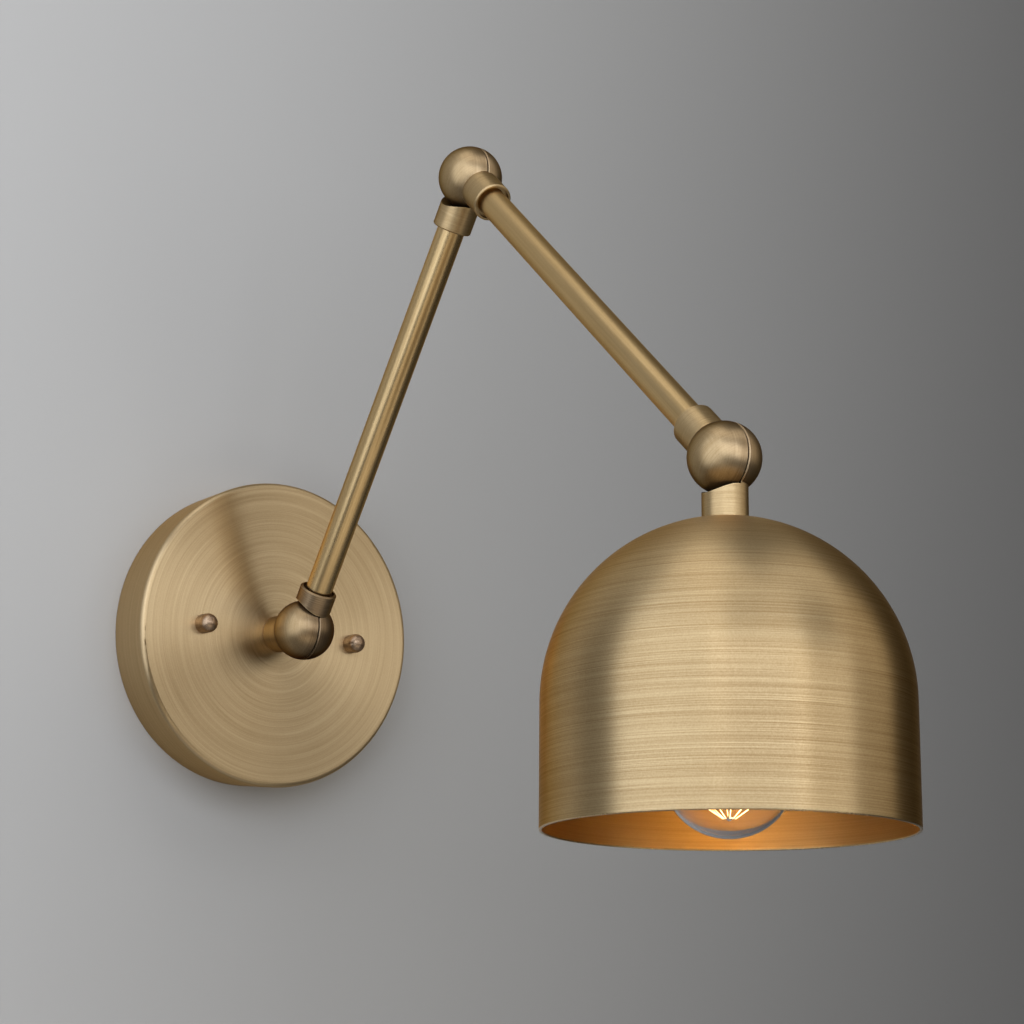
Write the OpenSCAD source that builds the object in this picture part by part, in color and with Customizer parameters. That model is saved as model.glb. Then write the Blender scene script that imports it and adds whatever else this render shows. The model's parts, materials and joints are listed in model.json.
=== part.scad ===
// Articulating wall sconce: a round canopy, two straight arms on split ball swivels, a dome shade and its bulb.
// The wall is the plane Y = 0 and the lamp stands out towards -Y, with Z up and X to the right.

/* [Canopy] */
// Outer diameter of the canopy where it meets the wall
canopy_d = 127; // [115:1:160]
// How far the canopy's side leans out from the wall to its front edge
canopy_flare = 1.3; // [0:0.1:3]
// Depth of the canopy from the wall to its face
canopy_depth = 26; // [20:0.5:29]
// Sheet thickness of the canopy
canopy_wall = 1.2; // [0.8:0.1:2]
// Radius of the rounded front edge of the canopy
canopy_edge_r = 2; // [1.4:0.1:4]
// Distance between the two cap nuts
stud_spacing = 72.5; // [60:0.5:84]
// Diameter of a cap nut
cap_nut_d = 8; // [7:0.5:12]
// Length of a cap nut
cap_nut_len = 8; // [7:0.5:12]

/* [Wall bracket] */
// Thickness of both straps
strap_t = 1.6; // [1.2:0.1:2.5]
// Width of both straps
strap_w = 16; // [15:0.5:20]
// Metal left beyond each box screw slot of the upright strap
slot_margin = 3.55; // [2.5:0.05:5]
// Distance from a stud's centre to the level strap's end
stud_margin = 9.75; // [7:0.25:12]
// Distance between the centres of the two box screw slots
box_screw_spacing = 88.9; // [80:0.1:90]
// Width of a box screw slot
slot_w = 4.8; // [4:0.1:6]
// End to end length of a box screw slot
slot_len = 12; // [7:0.5:14]
// Outer diameter of the hollow rivet that joins the straps
rivet_d = 10; // [8:0.5:11]
// Thread diameter of the studs and the ground screw
stud_d = 4.2; // [3.5:0.1:5]
// How far the ground screw stands from the middle of the level strap
ground_screw_x = 18; // [14:0.5:24]

/* [Arms] */
// Distance from the wall to the first swivel's axis
base_offset = 46.8; // [45:0.1:60]
// Lower arm, from swivel axis to swivel axis
lower_len = 201.7; // [120:0.1:320]
// Upper arm, from swivel axis to swivel axis
upper_len = 209.4; // [120:0.1:320]
// Outer diameter of the arm tubes
tube_d = 11.1; // [10:0.1:11.4]
// Wall thickness of the arm tubes
tube_wall = 1; // [0.7:0.1:1.6]
// Lower arm's angle from straight up, as the lamp stands
lower_angle = 31.4; // [20:0.1:60]
// Upper arm's angle from straight up, as the lamp stands
upper_angle = 130.5; // [110:0.1:133]
// Shade's angle from straight up, as the lamp stands
shade_angle = 176; // [170:0.1:200]

/* [Swivels] */
// Diameter of the swivel balls
ball_d = 24.8; // [24:0.1:26]
// Gap between the two halves of a ball
seam_gap = 0.5; // [0.3:0.05:0.8]
// Chamfer along the seam of each half ball
seam_chamfer = 0.35; // [0.1:0.05:0.6]
// Diameter of the hubs that stand out of the balls
hub_d = 15.6; // [15:0.1:16.5]
// Length of the lower arm's first hub, from the ball's centre
base_hub_len = 19; // [18:0.1:26]
// Length of the hubs at the elbow and the shade, from the ball's centre
hub_len = 21.8; // [20:0.1:28]
// Space between a hub's cut back end and the other half ball
hub_gap = 0.5; // [0.3:0.1:1]
// Diameter of the recess at a hub's mouth, round the tube
mouth_d = 13.6; // [12.4:0.1:14]
// Depth of the recess at a hub's mouth
mouth_depth = 1.6; // [1:0.1:2.4]
// Chamfer on a hub's outer lip
lip_chamfer = 0.5; // [0.2:0.1:0.7]
// Radius of the wire chamber inside each half ball
chamber_r = 8.2; // [7:0.1:8.8]
// Depth of the wire chamber from the seam
chamber_depth = 6; // [4:0.1:6.5]
// Diameter of the port that leads the wires out of the chamber
port_d = 4.4; // [3:0.1:5]
// Diameter of the pivot screws
pivot_d = 4; // [3:0.1:4.5]
// Diameter of a pivot screw's head
pivot_head_d = 7; // [6:0.1:7.4]
// Height of a pivot screw's head
pivot_head_h = 2; // [1.6:0.1:2.4]

/* [Shade] */
// Outer diameter of the shade
shade_d = 122; // [100:1:160]
// Distance from the shade's swivel axis to its rim
rim_drop = 123.8; // [112:0.1:150]
// Sheet thickness of the shade
shade_wall = 1; // [0.6:0.1:1.6]
// Radius of the flat crown under the stem
crown_r = 8.6; // [8.4:0.1:12]

/* [Socket and bulb] */
// Outer diameter of the threaded nipples
nipple_d = 10; // [9:0.1:10.6]
// Bore of the threaded nipples
nipple_bore = 7; // [5:0.5:8]
// Outer diameter of the lampholder's body
socket_d = 36; // [34:0.5:42]
// Outer diameter of the bulb's screw cap
bulb_cap_d = 26.4; // [26:0.1:27]
// Diameter of the bulb's globe
globe_d = 45; // [40:0.5:50]
// Distance from the shade's swivel axis to the centre of the globe
globe_drop = 103.5; // [100:0.5:108]
// Overall length of the bulb
bulb_len = 79; // [76:0.5:81]
// Wall thickness of the globe
glass_t = 0.7; // [0.5:0.1:1.2]
// Number of strands in the filament cage
strand_count = 10; // [6:2:14]

/* [Hidden] */
$fn = 72;

ball_r = ball_d / 2;
hub_r = hub_d / 2;
tube_r = tube_d / 2;
nipple_r = nipple_d / 2;
pivot_r = pivot_d / 2;
stud_r = stud_d / 2;
slop = 0.02;

// Clearances: a screwed joint, a turning pivot, a part that slips through a hole
thread_clear = 0.08;
run_clear = 0.05;
pass_clear = 0.3;

box_strap_len = box_screw_spacing + slot_len + 2 * slot_margin;
stud_strap_len = stud_spacing + 2 * stud_margin;
rivet_flange = 1.8;
rivet_wall = 1.2;
rivet_head_t = 0.8;
rivet_back = 0.1;
rivet_recess = rivet_flange + 0.2;
stud_nut_af = 8;
stud_nut_t = 3;
ground_head_d = 8;
ground_head_t = 2.4;
ground_slot_w = 1.2;
// How far the screws and the rivet stay back from the wall, and how deep a stud goes into its cap nut
wall_clear = 0.4;
stud_in_nut = cap_nut_len - 3;

// A seat's floor has to clear the other half ball, so the tubes start here
seat_floor = ball_r + hub_gap + 0.8;
// The post round the pivot screw
post_r = pivot_r + 1.4;
// The pivot screw's head sits in a pocket, whose floor is this far from the seam's middle
pocket_floor = seam_gap / 2 + chamber_depth + 2.2;
spring_t = 0.7;
screw_tip = chamber_depth + 1.6;
neck_len = base_offset - canopy_depth;

first_axis = [0, -base_offset, 0];
elbow_axis = first_axis + lower_len * arm_dir(lower_angle);
shade_axis = elbow_axis + upper_len * arm_dir(upper_angle);

washer_t = 1;
nipple_washer_r = 10;
shade_washer_r = 8;
locknut_t = 3.6;
locknut_af = 14;
canopy_inside = canopy_depth - canopy_wall;

shade_r = shade_d / 2;
dome_centre = hub_len + sqrt(shade_r * shade_r - crown_r * crown_r);
shade_inside = hub_len + shade_wall;

// Heights of the lampholder's pieces along the shade's axis
locknut_gap = 0.9;
socket_cap_z = shade_inside + washer_t + locknut_t + locknut_gap;
socket_cap_t = 2;
socket_cap_h = 9;
socket_cap_wall = 1;
contact_space = 1.6;
socket_depth = 26;
bulb_tip_z = globe_drop + globe_d / 2 - bulb_len;
socket_floor_z = bulb_tip_z - contact_space;
socket_mouth_z = bulb_tip_z + socket_depth;
shell_t = 0.5;
shell_r = bulb_cap_d / 2 + 0.35;
shell_inset = 1.5;
terminal_drop = 3.2;
terminal_z = socket_floor_z - terminal_drop;
terminal_r = 1.6;
terminal_head_r = 3;
terminal_head_t = 1.6;
terminal_inset = 3.2;
terminal_slot_w = 0.8;
lead_hole_r = 1.4;
bulb_cap_end = 27;
bulb_cap_rise = 3.6;
bulb_cap_wall = 0.4;
bulb_cap_z = bulb_tip_z + bulb_cap_rise;
bulb_cap_end_z = bulb_tip_z + bulb_cap_end;
tip_h = 0.9;
tip_r = 4.8;
insulator_r = 6;
neck_r = bulb_cap_d / 2 - bulb_cap_wall - 0.2;
neck_start_z = bulb_cap_end_z - 3;
neck_fillet = 8;
stem_r = 2.4;
stem_flare = 8;
stem_top_z = globe_drop - 6;

brass = "#b49a6a";
bronze = "#80684e";
steel = "#c4c6c8";

function arm_dir(a) = [0, -sin(a), cos(a)];
function polar(r, a, z) = [r * cos(a), r * sin(a), z];
function unit(v) = v / norm(v);

// Places a piece drawn on the wall: its own X is level, its Y upright and its Z out from the wall
module on_wall() rotate([90, 0, 0]) children();

// Places a piece drawn at a swivel: its own Z runs along the hub at the angle a from straight up
module at_swivel(centre, a) translate(centre) rotate([a, 0, 0]) children();

// Turns a piece drawn along Z so that it runs along X, towards the side s
module along_x(s) rotate([0, s * 90, 0]) children();

module tube(r_out, r_in, h) difference() {
    cylinder(r = r_out, h = h);
    translate([0, 0, -1]) cylinder(r = r_in, h = h + 2);
}

module hex_nut(af, bore_r, h) difference() {
    intersection() {
        cylinder(d = af / cos(30), h = h, $fn = 6);
        cylinder(d1 = af * 1.04, d2 = af * 1.04 + 2 * h, h = h);
    }
    translate([0, 0, -1]) cylinder(r = bore_r, h = h + 2);
}

// Outline of a strap with round ends, along X
module strap_outline(len, w) {
    square([len - w, w], center = true);
    for (s = [-1, 1]) translate([s * (len - w) / 2, 0]) circle(d = w);
}

// Section of the canopy's outside or inside, r at the wall and leaning out to the rounded edge
module canopy_section(r, h, edge) {
    front_r = r + canopy_flare;
    polygon([[0, 0], [r, 0], [front_r, h - edge], [front_r - edge, h], [0, h]]);
    translate([front_r - edge, h - edge]) circle(r = edge);
}

module canopy() color(brass) on_wall() difference() {
    rotate_extrude() difference() {
        canopy_section(canopy_d / 2, canopy_depth, canopy_edge_r);
        translate([0, -slop]) canopy_section(
            canopy_d / 2 - canopy_wall, canopy_inside + slop, max(canopy_edge_r - canopy_wall, 0.2));
    }
    translate([0, 0, canopy_inside - 1]) cylinder(r = nipple_r + pass_clear, h = canopy_wall + 2);
    for (s = [-1, 1]) translate([s * stud_spacing / 2, 0, canopy_inside - 1])
        cylinder(r = stud_r + pass_clear, h = canopy_wall + 2);
}

module box_strap() color(steel) on_wall() difference() {
    linear_extrude(strap_t) difference() {
        rotate(90) strap_outline(box_strap_len, strap_w);
        for (s = [-1, 1]) translate([0, s * box_screw_spacing / 2])
            rotate(90) strap_outline(slot_len, slot_w);
        circle(r = rivet_d / 2 + thread_clear);
    }
    translate([0, 0, -1]) cylinder(r = rivet_d / 2 + rivet_recess, h = 1 + strap_t / 2);
}

module stud_strap() color(steel) on_wall() translate([0, 0, strap_t]) linear_extrude(strap_t) difference() {
    strap_outline(stud_strap_len, strap_w);
    circle(r = rivet_d / 2 + thread_clear);
    for (s = [-1, 1]) translate([s * stud_spacing / 2, 0]) circle(r = stud_r + thread_clear);
    translate([ground_screw_x, 0]) circle(r = stud_r + thread_clear);
}

// A hollow rivet: its back flange lies in the box strap's recess, its front flange on the stud strap
module strap_rivet() color(steel) on_wall() difference() {
    union() {
        translate([0, 0, rivet_back]) cylinder(r = rivet_d / 2 + rivet_flange, h = strap_t / 2 - rivet_back);
        translate([0, 0, rivet_back]) cylinder(r = rivet_d / 2, h = 2 * strap_t);
        translate([0, 0, 2 * strap_t]) cylinder(r = rivet_d / 2 + rivet_flange, h = rivet_head_t);
    }
    translate([0, 0, -1]) cylinder(r = rivet_d / 2 - rivet_wall, h = 2 * strap_t + 3);
}

module ground_screw() color("#3f8a4d") on_wall() translate([ground_screw_x, 0, 0]) difference() {
    union() {
        translate([0, 0, wall_clear]) cylinder(r = stud_r, h = 2 * strap_t);
        translate([0, 0, 2 * strap_t]) cylinder(d = ground_head_d, h = ground_head_t);
    }
    translate([0, 0, 2 * strap_t + ground_head_t])
        cube([ground_head_d + 2, ground_slot_w, ground_head_t], center = true);
}

module canopy_studs() color(steel) on_wall() for (s = [-1, 1]) translate([s * stud_spacing / 2, 0, wall_clear])
    cylinder(r = stud_r, h = canopy_depth + stud_in_nut - wall_clear);

module stud_locknuts() color(steel) on_wall() for (s = [-1, 1])
    translate([s * stud_spacing / 2, 0, 2 * strap_t]) hex_nut(stud_nut_af, stud_r + thread_clear, stud_nut_t);

module cap_nuts() color(bronze) on_wall() for (s = [-1, 1]) translate([s * stud_spacing / 2, 0, canopy_depth])
    difference() {
        union() {
            cylinder(d = cap_nut_d, h = cap_nut_len - cap_nut_d / 2);
            translate([0, 0, cap_nut_len - cap_nut_d / 2]) intersection() {
                sphere(d = cap_nut_d);
                cylinder(d = cap_nut_d, h = cap_nut_d);
            }
        }
        translate([0, 0, -1]) cylinder(r = stud_r + thread_clear, h = 1 + stud_in_nut + 0.6);
    }

module canopy_nipple() color(steel) translate(first_axis) rotate([-90, 0, 0]) translate([0, 0, seat_floor])
    tube(nipple_r, nipple_bore / 2, neck_len - seat_floor + canopy_wall + washer_t + locknut_t + 3);

module nipple_washer() color(steel) on_wall() translate([0, 0, canopy_inside - washer_t])
    tube(nipple_washer_r, nipple_r + thread_clear, washer_t);

module nipple_locknut() color(steel) on_wall() translate([0, 0, canopy_inside - washer_t])
    mirror([0, 0, 1]) hex_nut(locknut_af, nipple_r + thread_clear, locknut_t);

// One half of a ball on the side s of the seam, with its flat face to the other half
module half_ball(s) along_x(s) translate([0, 0, seam_gap / 2]) rotate_extrude() difference() {
    intersection() {
        circle(r = ball_r);
        square(ball_r + 1);
    }
    translate([ball_r, 0]) rotate(45) square(seam_chamfer * sqrt(2), center = true);
}

// A hub along Z: whole beyond the ball, and on the side s it runs on into its own half ball
module hub(s, len) difference() {
    union() {
        cylinder(r = hub_r, h = len - lip_chamfer);
        translate([0, 0, len - lip_chamfer]) cylinder(r1 = hub_r, r2 = hub_r - lip_chamfer, h = lip_chamfer);
    }
    along_x(-s) translate([0, 0, -seam_gap / 2]) cylinder(r = ball_r + hub_gap, h = hub_d);
}

// A half ball with its hub, wire chamber, wire port and seat; the seat takes a tube or a nipple of radius seat_r
module swivel_half(s, len, seat_r) difference() {
    union() {
        half_ball(s);
        hub(s, len);
    }
    along_x(s) translate([0, 0, seam_gap / 2 - 1]) tube(chamber_r, post_r, chamber_depth + 1);
    translate([s * (port_d / 2 + 1), 0, (chamber_r + post_r) / 2]) cylinder(d = port_d, h = seat_floor);
    translate([0, 0, seat_floor]) cylinder(r = seat_r + thread_clear, h = len);
}

// The half on the -X side holds the pivot screw's thread
module threaded_half(len, seat_r) difference() {
    swivel_half(-1, len, seat_r);
    along_x(-1) cylinder(r = pivot_r + thread_clear, h = seam_gap / 2 + screw_tip + 0.6);
}

// The half on the +X side turns on the pivot screw and holds its head in a pocket
module pocket_half(len, seat_r) difference() {
    swivel_half(1, len, seat_r);
    along_x(1) cylinder(r = pivot_r + run_clear, h = ball_d);
    translate([pocket_floor, 0, 0]) along_x(1) cylinder(r = pivot_head_d / 2 + 0.3, h = ball_d);
}

// The recess at the mouth of a hub that takes a tube
module mouth(len) translate([0, 0, len - mouth_depth]) cylinder(d = mouth_d, h = mouth_depth + 1);

module pivot_screw() translate([pocket_floor + run_clear + spring_t, 0, 0]) difference() {
    union() {
        along_x(1) cylinder(d = pivot_head_d, h = pivot_head_h);
        along_x(-1) cylinder(
            r = pivot_r, h = pocket_floor + run_clear + spring_t + seam_gap / 2 + screw_tip);
    }
    translate([pivot_head_h, 0, 0]) cube([1.8, 1, pivot_head_d + 1], center = true);
}

// A dished spring washer under the pivot screw's head
module spring_washer() translate([pocket_floor + run_clear, 0, 0]) along_x(1) difference() {
    cylinder(d1 = pivot_head_d, d2 = pivot_head_d - 1.2, h = spring_t);
    translate([0, 0, -1]) cylinder(r = pivot_r + run_clear, h = spring_t + 2);
}

// A flat washer in the seam, on the -X half's face
module friction_washer() translate([-seam_gap / 2, 0, 0]) along_x(1)
    tube(ball_r - 1.1, chamber_r + 0.3, seam_gap - run_clear);

module neck_half() color(bronze) at_swivel(first_axis, -90) threaded_half(neck_len, nipple_r);
module base_pivot_screw() color(bronze) at_swivel(first_axis, -90) pivot_screw();
module base_spring_washer() color(steel) at_swivel(first_axis, -90) spring_washer();
module base_friction_washer() color("#3a3430") at_swivel(first_axis, -90) friction_washer();

module lower_arm_base_half() color(bronze) at_swivel(first_axis, lower_angle) difference() {
    pocket_half(base_hub_len, tube_r);
    mouth(base_hub_len);
}

module lower_arm_tube() color(brass) at_swivel(first_axis, lower_angle) translate([0, 0, seat_floor])
    tube(tube_r, tube_r - tube_wall, lower_len - 2 * seat_floor);

module lower_arm_elbow_half() color(bronze) at_swivel(elbow_axis, lower_angle + 180) difference() {
    pocket_half(hub_len, tube_r);
    mouth(hub_len);
}

module upper_arm_elbow_half() color(bronze) at_swivel(elbow_axis, upper_angle) difference() {
    threaded_half(hub_len, tube_r);
    mouth(hub_len);
}

module elbow_pivot_screw() color(bronze) at_swivel(elbow_axis, upper_angle) pivot_screw();
module elbow_spring_washer() color(steel) at_swivel(elbow_axis, upper_angle) spring_washer();
module elbow_friction_washer() color("#3a3430") at_swivel(elbow_axis, upper_angle) friction_washer();

module upper_arm_tube() color(brass) at_swivel(elbow_axis, upper_angle) translate([0, 0, seat_floor])
    tube(tube_r, tube_r - tube_wall, upper_len - 2 * seat_floor);

module upper_arm_shade_half() color(bronze) at_swivel(shade_axis, upper_angle + 180) difference() {
    threaded_half(hub_len, tube_r);
    mouth(hub_len);
}

module shade_pivot_screw() color(bronze) at_swivel(shade_axis, upper_angle + 180) pivot_screw();
module shade_spring_washer() color(steel) at_swivel(shade_axis, upper_angle + 180) spring_washer();
module shade_friction_washer() color("#3a3430") at_swivel(shade_axis, upper_angle + 180) friction_washer();

// What follows hangs on the shade's swivel: Z runs down the shade's axis
module on_shade_axis() at_swivel(shade_axis, shade_angle) children();

module shade_half() color(bronze) on_shade_axis() pocket_half(hub_len, nipple_r);

module shade_nipple() color(steel) on_shade_axis() translate([0, 0, seat_floor])
    tube(nipple_r, nipple_bore / 2, socket_cap_z + socket_cap_t + 2 - seat_floor);

// Section of the dome and its straight skirt, from the crown's flat at z0 to the rim
module dome_section(r, z0) {
    intersection() {
        translate([0, dome_centre]) circle(r = r, $fn = 144);
        translate([0, z0]) square([r + 1, dome_centre - z0]);
    }
    translate([0, dome_centre]) square([r, rim_drop - dome_centre]);
}

module shade() color(brass) on_shade_axis() difference() {
    rotate_extrude($fn = 144) difference() {
        dome_section(shade_r, hub_len);
        dome_section(shade_r - shade_wall, shade_inside);
        translate([0, rim_drop - 1]) square([shade_r - shade_wall, 2]);
    }
    translate([0, 0, hub_len - 1]) cylinder(r = nipple_r + pass_clear, h = shade_wall + 2);
}

module shade_washer() color(steel) on_shade_axis() translate([0, 0, shade_inside])
    tube(shade_washer_r, nipple_r + thread_clear, washer_t);

module shade_locknut() color(steel) on_shade_axis() translate([0, 0, shade_inside + washer_t])
    hex_nut(locknut_af, nipple_r + thread_clear, locknut_t);

// The lampholder's cap screws onto the nipple and closes over the body's end
module socket_cap() color(bronze) on_shade_axis() translate([0, 0, socket_cap_z]) difference() {
    cylinder(d = socket_d, h = socket_cap_h);
    translate([0, 0, socket_cap_t]) cylinder(r = socket_d / 2 - socket_cap_wall, h = socket_cap_h);
    translate([0, 0, -1]) cylinder(r = nipple_r + thread_clear, h = socket_cap_t + 2);
}

module socket_body() color("#e8e2d4") on_shade_axis() difference() {
    translate([0, 0, socket_cap_z + socket_cap_t]) cylinder(
        r = socket_d / 2 - socket_cap_wall - 0.2, h = socket_mouth_z - socket_cap_z - socket_cap_t);
    translate([0, 0, socket_floor_z]) cylinder(r = shell_r + shell_t + 0.1, h = socket_mouth_z);
    translate([0, 0, socket_cap_z]) cylinder(r = nipple_r + 1, h = socket_cap_t + 4);
    for (s = [-1, 1]) {
        translate([s * (socket_d / 2 - terminal_inset - 3.3), 0, terminal_z]) along_x(s)
            cylinder(r = terminal_r + thread_clear, h = socket_d / 2);
        translate([s * (socket_d / 2 - terminal_inset), 0, terminal_z]) along_x(s)
            cylinder(r = terminal_head_r + 0.6, h = socket_d / 2);
        translate([s * socket_d / 4, 0, socket_cap_z])
            cylinder(r = lead_hole_r, h = terminal_z - socket_cap_z);
    }
}

module terminal_screws() color(brass) on_shade_axis() for (s = [-1, 1])
    translate([s * (socket_d / 2 - terminal_inset), 0, terminal_z]) difference() {
        union() {
            along_x(s) cylinder(r = terminal_head_r, h = terminal_head_t);
            along_x(-s) cylinder(r = terminal_r, h = 3);
        }
        translate([s * terminal_head_t, 0, 0])
            cube([terminal_head_t, terminal_slot_w, 2 * terminal_head_r + 2], center = true);
    }

module socket_shell() color("#c9a557") on_shade_axis() translate([0, 0, socket_floor_z])
    tube(shell_r + shell_t, shell_r, socket_mouth_z - socket_floor_z - shell_inset);

// A springy tongue on the lampholder's floor, bent up to meet the bulb's tip
module socket_contact() color("#c9a557") on_shade_axis() translate([0, 0, socket_floor_z]) {
    translate([-3, -3, 0]) cube([11, 6, 0.5]);
    translate([-3, -3, 0]) cube([0.5, 6, bulb_tip_z - socket_floor_z - 0.1]);
    translate([-3, -3, bulb_tip_z - socket_floor_z - 0.6]) cube([6, 6, 0.5]);
}

module bulb_cap() color("#c8b27a") on_shade_axis() translate([0, 0, bulb_cap_z])
    tube(bulb_cap_d / 2, bulb_cap_d / 2 - bulb_cap_wall, bulb_cap_end_z - bulb_cap_z);

module bulb_insulator() color("#2a2626") on_shade_axis() {
    translate([0, 0, bulb_tip_z]) cylinder(r1 = tip_r - 1, r2 = tip_r, h = tip_h);
    translate([0, 0, bulb_tip_z + tip_h]) cylinder(
        r1 = insulator_r, r2 = bulb_cap_d / 2 - bulb_cap_wall - 0.2, h = bulb_cap_rise - tip_h);
    translate([0, 0, bulb_cap_z]) cylinder(r = bulb_cap_d / 2 - bulb_cap_wall - 0.1, h = 1.5);
}

// Outline of the bulb's glass, drawn in by t: up a straight neck, round a throat and over the globe to its pole
arc_steps = 16;
function arc(centre, r, a0, a1) = [for (k = [0:arc_steps]) let (a = a0 + (a1 - a0) * k / arc_steps)
    centre + r * [cos(a), sin(a)]];
function glass_outline(t) = let (
    r = globe_d / 2 - t,
    f = neck_fillet + t,
    across = neck_r - t + f,
    rise = sqrt((r + f) * (r + f) - across * across),
    meet = atan2(rise, across))
    concat([[neck_r - t, neck_start_z]],
        arc([across, globe_drop - rise], f, 180, 180 - meet),
        arc([0, globe_drop], r, -meet + 90 / arc_steps, 90));

module bulb_glass() color([0.85, 0.88, 0.92, 0.35]) on_shade_axis() rotate_extrude() {
    outside = glass_outline(0);
    inside = glass_outline(glass_t);
    polygon(concat(outside, [for (k = [len(inside) - 1:-1:0]) inside[k]]));
}

// The flared glass stem inside the neck, which carries the filament
module bulb_stem() color([0.85, 0.88, 0.92, 0.5]) on_shade_axis() {
    translate([0, 0, neck_start_z + 0.2]) cylinder(r1 = neck_r - glass_t - 0.1, r2 = stem_r, h = stem_flare);
    translate([0, 0, neck_start_z + stem_flare])
        cylinder(r = stem_r, h = stem_top_z - neck_start_z - stem_flare);
    translate([0, 0, stem_top_z]) sphere(r = stem_r);
}

// The filament runs up and down between a top ring and a foot ring, bellied out in between
wire_r = 0.3;
cage_top = [6, stem_top_z - 2];
cage_belly = [8, globe_drop + 12];
cage_foot = [2.2, globe_drop + 16];
strand_steps = 6;
function strand_angle(i) = 360 * (i + 0.5) / strand_count;

// A strand's radius and height, u from 0 at the top ring to 1 at the foot ring
function strand_bend(u) = u < 0.6
    ? cage_top + (cage_belly - cage_top) * sin(150 * u)
    : cage_foot + (cage_belly - cage_foot) * cos(225 * (u - 0.6));
function strand_point(i, u) = polar(strand_bend(u)[0], strand_angle(i), strand_bend(u)[1]);
cage_route = [for (i = [0:strand_count - 1], k = [0:strand_steps])
    strand_point(i, (i % 2 == 0 ? k : strand_steps - k) / strand_steps)];

// Sweeps a closed wire of radius r along the points of a route, with the given number of sides
module closed_wire(route, r, sides) {
    n = len(route);
    ahead = [for (i = [0:n - 1]) unit(route[(i + 1) % n] - route[(i + n - 1) % n])];
    points = [for (i = [0:n - 1], k = [0:sides - 1]) let (
        out = unit(cross(ahead[i], [route[i][1], -route[i][0], 0])),
        side = cross(ahead[i], out),
        a = 360 * k / sides) route[i] + r * (cos(a) * out + sin(a) * side)];
    faces = [for (i = [0:n - 1], k = [0:sides - 1]) let (
        j = (i + 1) % n, m = (k + 1) % sides)
        each [[i * sides + k, j * sides + k, j * sides + m], [i * sides + k, j * sides + m, i * sides + m]]];
    polyhedron(points = points, faces = faces, convexity = 10);
}

module bulb_filament() color("#ffd27a") on_shade_axis() closed_wire(cage_route, wire_r, 6);

// Support wires: spokes out of the stem to the filament's top bends, and a post with a bead and spokes to its foot
spoke_gap = wire_r + 0.1;
spoke_r = 0.2;
post_foot = stem_top_z + stem_r + slop;
bead_r = 0.9;
module bulb_supports() color(steel) on_shade_axis() {
    translate([0, 0, post_foot]) cylinder(r = 0.4, h = cage_foot[1] - post_foot, $fn = 16);
    translate([0, 0, cage_foot[1]]) sphere(r = bead_r, $fn = 16);
    for (i = [0:strand_count - 1]) rotate([0, 0, strand_angle(i)]) {
        translate([bead_r - 0.2, 0, cage_foot[1]]) along_x(1)
            cylinder(r = spoke_r, h = cage_foot[0] - spoke_gap - bead_r + 0.2, $fn = 16);
        translate([stem_r + slop, 0, cage_top[1]]) along_x(1)
            cylinder(r = spoke_r, h = cage_top[0] - spoke_gap - stem_r - slop, $fn = 16);
    }
}

canopy();
box_strap();
stud_strap();
strap_rivet();
ground_screw();
canopy_studs();
stud_locknuts();
cap_nuts();
canopy_nipple();
nipple_washer();
nipple_locknut();
neck_half();
base_pivot_screw();
base_spring_washer();
base_friction_washer();
lower_arm_base_half();
lower_arm_tube();
lower_arm_elbow_half();
upper_arm_elbow_half();
elbow_pivot_screw();
elbow_spring_washer();
elbow_friction_washer();
upper_arm_tube();
upper_arm_shade_half();
shade_pivot_screw();
shade_spring_washer();
shade_friction_washer();
shade_half();
shade_nipple();
shade();
shade_washer();
shade_locknut();
socket_cap();
socket_body();
socket_shell();
socket_contact();
terminal_screws();
bulb_cap();
bulb_insulator();
bulb_glass();
bulb_stem();
bulb_supports();
bulb_filament();
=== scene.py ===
# %% [markdown]
# # Dressing a brass wall sconce
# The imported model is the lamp's construction: every piece at its real size, on the body that it moves
# with. This script gives it its looks. It keeps the turned and drawn pieces and finishes them as brushed,
# aged brass, and models afresh what needs finer work than construction does: the spun shade, the blown
# bulb, its glowing wire and the screw threads. The lamp is measured first, before anything is added to it.

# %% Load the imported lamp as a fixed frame
import json
import math

import bmesh
import bpy
from mathutils import Matrix, Vector


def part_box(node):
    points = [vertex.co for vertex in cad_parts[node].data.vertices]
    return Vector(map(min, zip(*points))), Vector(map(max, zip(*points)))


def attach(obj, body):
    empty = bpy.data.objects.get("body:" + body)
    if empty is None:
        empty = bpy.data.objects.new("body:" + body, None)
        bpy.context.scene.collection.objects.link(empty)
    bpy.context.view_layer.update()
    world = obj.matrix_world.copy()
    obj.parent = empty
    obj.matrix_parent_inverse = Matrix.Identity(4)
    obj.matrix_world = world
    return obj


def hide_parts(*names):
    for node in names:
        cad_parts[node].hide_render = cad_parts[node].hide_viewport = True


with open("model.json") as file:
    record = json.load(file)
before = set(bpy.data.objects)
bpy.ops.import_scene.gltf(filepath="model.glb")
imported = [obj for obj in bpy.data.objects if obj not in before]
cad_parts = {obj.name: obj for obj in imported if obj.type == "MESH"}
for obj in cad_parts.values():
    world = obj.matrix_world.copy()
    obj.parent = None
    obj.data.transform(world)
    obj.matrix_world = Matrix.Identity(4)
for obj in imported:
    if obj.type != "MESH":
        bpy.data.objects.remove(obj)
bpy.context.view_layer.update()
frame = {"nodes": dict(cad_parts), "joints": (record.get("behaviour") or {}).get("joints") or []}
nodes = frame["nodes"]
MM = 0.001

# %% [markdown]
# The lamp hangs together at three swivels. Their axes give every place that the later cells need: the arms
# run from swivel to swivel, and the shade hangs from the last one, leaning a little outwards. All of it
# lies in the plane X = 0, so a piece's own frame is the world's X, its axis as Z, and what is square to
# both as Y.

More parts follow.
